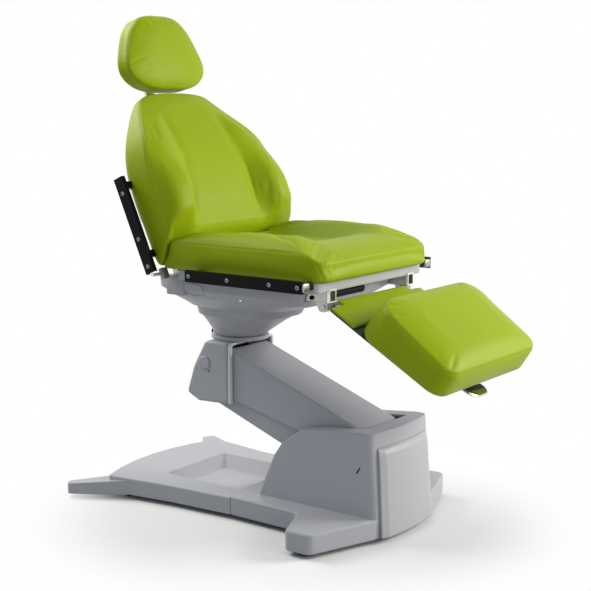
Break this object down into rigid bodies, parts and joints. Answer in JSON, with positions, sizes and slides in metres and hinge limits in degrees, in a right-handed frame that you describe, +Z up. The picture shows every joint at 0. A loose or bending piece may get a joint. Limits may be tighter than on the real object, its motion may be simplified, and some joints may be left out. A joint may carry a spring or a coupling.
{
  "type": "orthodontic chair",
  "caption": "Motorised orthodontic chair with lime green cushions, a diagonal lift arm on a grey floor base, swivelling seat, reclining back, headrest and sloping legrest",
  "frame": {"origin": "centre of the bounding box on the floor", "axes": "+Z up, -Y is the chair's front where the feet go, +X is the sitter's left"},
  "size_m": [0.714, 1.2893, 1.4587],
  "materials": {
    "grey_paint": "blue-grey moulded covers, satin",
    "pale_grey": "light grey mouldings, satin",
    "lime_leather": "lime green coated upholstery, soft sheen",
    "steel": "grey painted structural steel",
    "chrome": "bright plated steel",
    "black_rail": "black satin coating",
    "rubber": "black rubber",
    "dark_plastic": "dark grey plastic"
  },
  "bodies": {
    "base": {"arm_pin_lower": "chrome", "floor_frame": "steel", "foot_front_left": "rubber", "foot_front_right": "rubber", "foot_rear_left": "rubber", "foot_rear_right": "rubber", "front_housing": "grey_paint", "front_panel": "pale_grey", "lift_tower": "steel", "link_pin_lower": "chrome", "rear_base_cover": "grey_paint"},
    "arm": {"arm_beam": "steel", "arm_cover": "grey_paint"},
    "link": {"lower_link": "grey_paint"},
    "lift_tube_body": {"lift_tube": "dark_plastic"},
    "lift_rod_body": {"lift_rod": "chrome"},
    "knuckle": {"arm_pin_upper": "chrome", "knuckle_cap_left": "grey_paint", "knuckle_cap_right": "grey_paint", "knuckle_casting": "steel", "knuckle_rim": "pale_grey", "knuckle_shell": "grey_paint", "link_pin_upper": "chrome", "swivel_disc": "black_rail"},
    "seat": {"back_hinge_pin": "chrome", "leg_hinge_pin": "chrome", "legrest_lock": "black_rail", "seat_column": "steel", "seat_cross_front": "steel", "seat_cross_rear": "steel", "seat_pad": "lime_leather", "seat_rail_left": "black_rail", "seat_rail_right": "black_rail", "seat_tray": "pale_grey", "seat_tube_left": "chrome", "seat_tube_right": "chrome", "under_seat_cover": "grey_paint"},
    "back": {"back_arm_left": "chrome", "back_arm_right": "chrome", "back_board": "dark_plastic", "back_cross_high": "steel", "back_cross_low": "steel", "back_pad": "lime_leather", "back_rail_left": "black_rail", "back_rail_right": "black_rail", "back_shell": "pale_grey", "head_guide": "black_rail"},
    "back_tube_body": {"back_tube": "dark_plastic"},
    "back_rod_body": {"back_rod": "chrome"},
    "head_slide": {"head_bar": "chrome"},
    "headrest": {"head_pad": "lime_leather", "head_plate": "dark_plastic"},
    "clamp_knob": {"head_knob": "black_rail"},
    "legrest": {"leg_arm_left": "chrome", "leg_arm_right": "chrome", "leg_pad": "lime_leather", "leg_plate": "dark_plastic", "leg_thin_pad": "lime_leather"},
    "paddle": {"leg_paddle": "chrome"}
  },
  "joints": [
    {"name": "lift", "type": "hinge", "parent": "base", "child": "arm", "pos_m": [0, -0.246, 0.263], "axis": [1, 0, 0], "range_deg": [-25.5, 14.5]},
    {"name": "level_link", "type": "hinge", "parent": "base", "child": "link", "pos_m": [0, -0.201, 0.188], "axis": [1, 0, 0], "range_deg": [-25.5, 14.5]},
    {"name": "level_knuckle", "type": "hinge", "parent": "arm", "child": "knuckle", "pos_m": [0, 0.22234, 0.4381], "axis": [1, 0, 0], "range_deg": [-14.5, 25.5]},
    {"name": "lift_tube_swing", "type": "hinge", "parent": "base", "child": "lift_tube_body", "pos_m": [0, -0.201, 0.188], "axis": [1, 0, 0], "range_deg": [-26.15, 14.87]},
    {"name": "lift_stroke", "type": "slide", "parent": "lift_tube_body", "child": "lift_rod_body", "axis": [0, 0.861, 0.5087], "range_m": [-0.03815, 0.02169]},
    {"name": "swivel", "type": "hinge", "parent": "knuckle", "child": "seat", "pos_m": [0, 0.22834, 0.5046], "axis": [0, 0, 1], "range_deg": [-90, 90]},
    {"name": "back_recline", "type": "hinge", "parent": "seat", "child": "back", "pos_m": [0, 0.27234, 0.6816], "axis": [-1, 0, 0], "range_deg": [0, 45]},
    {"name": "back_tube_swing", "type": "hinge", "parent": "seat", "child": "back_tube_body", "pos_m": [0.095, -0.04966, 0.6566], "axis": [1, 0, 0], "range_deg": [0, 5.74]},
    {"name": "back_stroke", "type": "slide", "parent": "back_tube_body", "child": "back_rod_body", "axis": [0, 0.9951, -0.0991], "range_m": [-0.03638, 0]},
    {"name": "headrest_height", "type": "slide", "parent": "back", "child": "head_slide", "axis": [0, 0.4147, 0.91], "range_m": [0, 0.1]},
    {"name": "headrest_tilt", "type": "hinge", "parent": "head_slide", "child": "headrest", "pos_m": [0, 0.61846, 1.29642], "axis": [1, 0, 0], "range_deg": [-15, 5]},
    {"name": "headrest_clamp", "type": "hinge", "parent": "back", "child": "clamp_knob", "pos_m": [0, 0.51583, 1.07121], "axis": [0, 0.91, -0.4147], "range_deg": [-180, 180]},
    {"name": "legrest_angle", "type": "hinge", "parent": "seat", "child": "legrest", "pos_m": [0, -0.22766, 0.6546], "axis": [1, 0, 0], "range_deg": [-30, 28]},
    {"name": "legrest_release", "type": "hinge", "parent": "legrest", "child": "paddle", "pos_m": [0, -0.54108, 0.45374], "axis": [-1, 0, 0], "range_deg": [0, 10], "stiffness_Nm_per_rad": 1, "springref_deg": -6.88}
  ],
  "couplings": [
    {"joint": "level_link", "follows": "lift", "ratio": 1},
    {"joint": "level_knuckle", "follows": "lift", "ratio": -1},
    {"joint": "lift_tube_swing", "follows": "lift", "ratio": 1.0253},
    {"joint": "lift_stroke", "follows": "lift", "m_per_rad": 0.08571},
    {"joint": "back_tube_swing", "follows": "back_recline", "ratio": 0.12754},
    {"joint": "back_stroke", "follows": "back_recline", "m_per_rad": -0.046315}
  ]
}
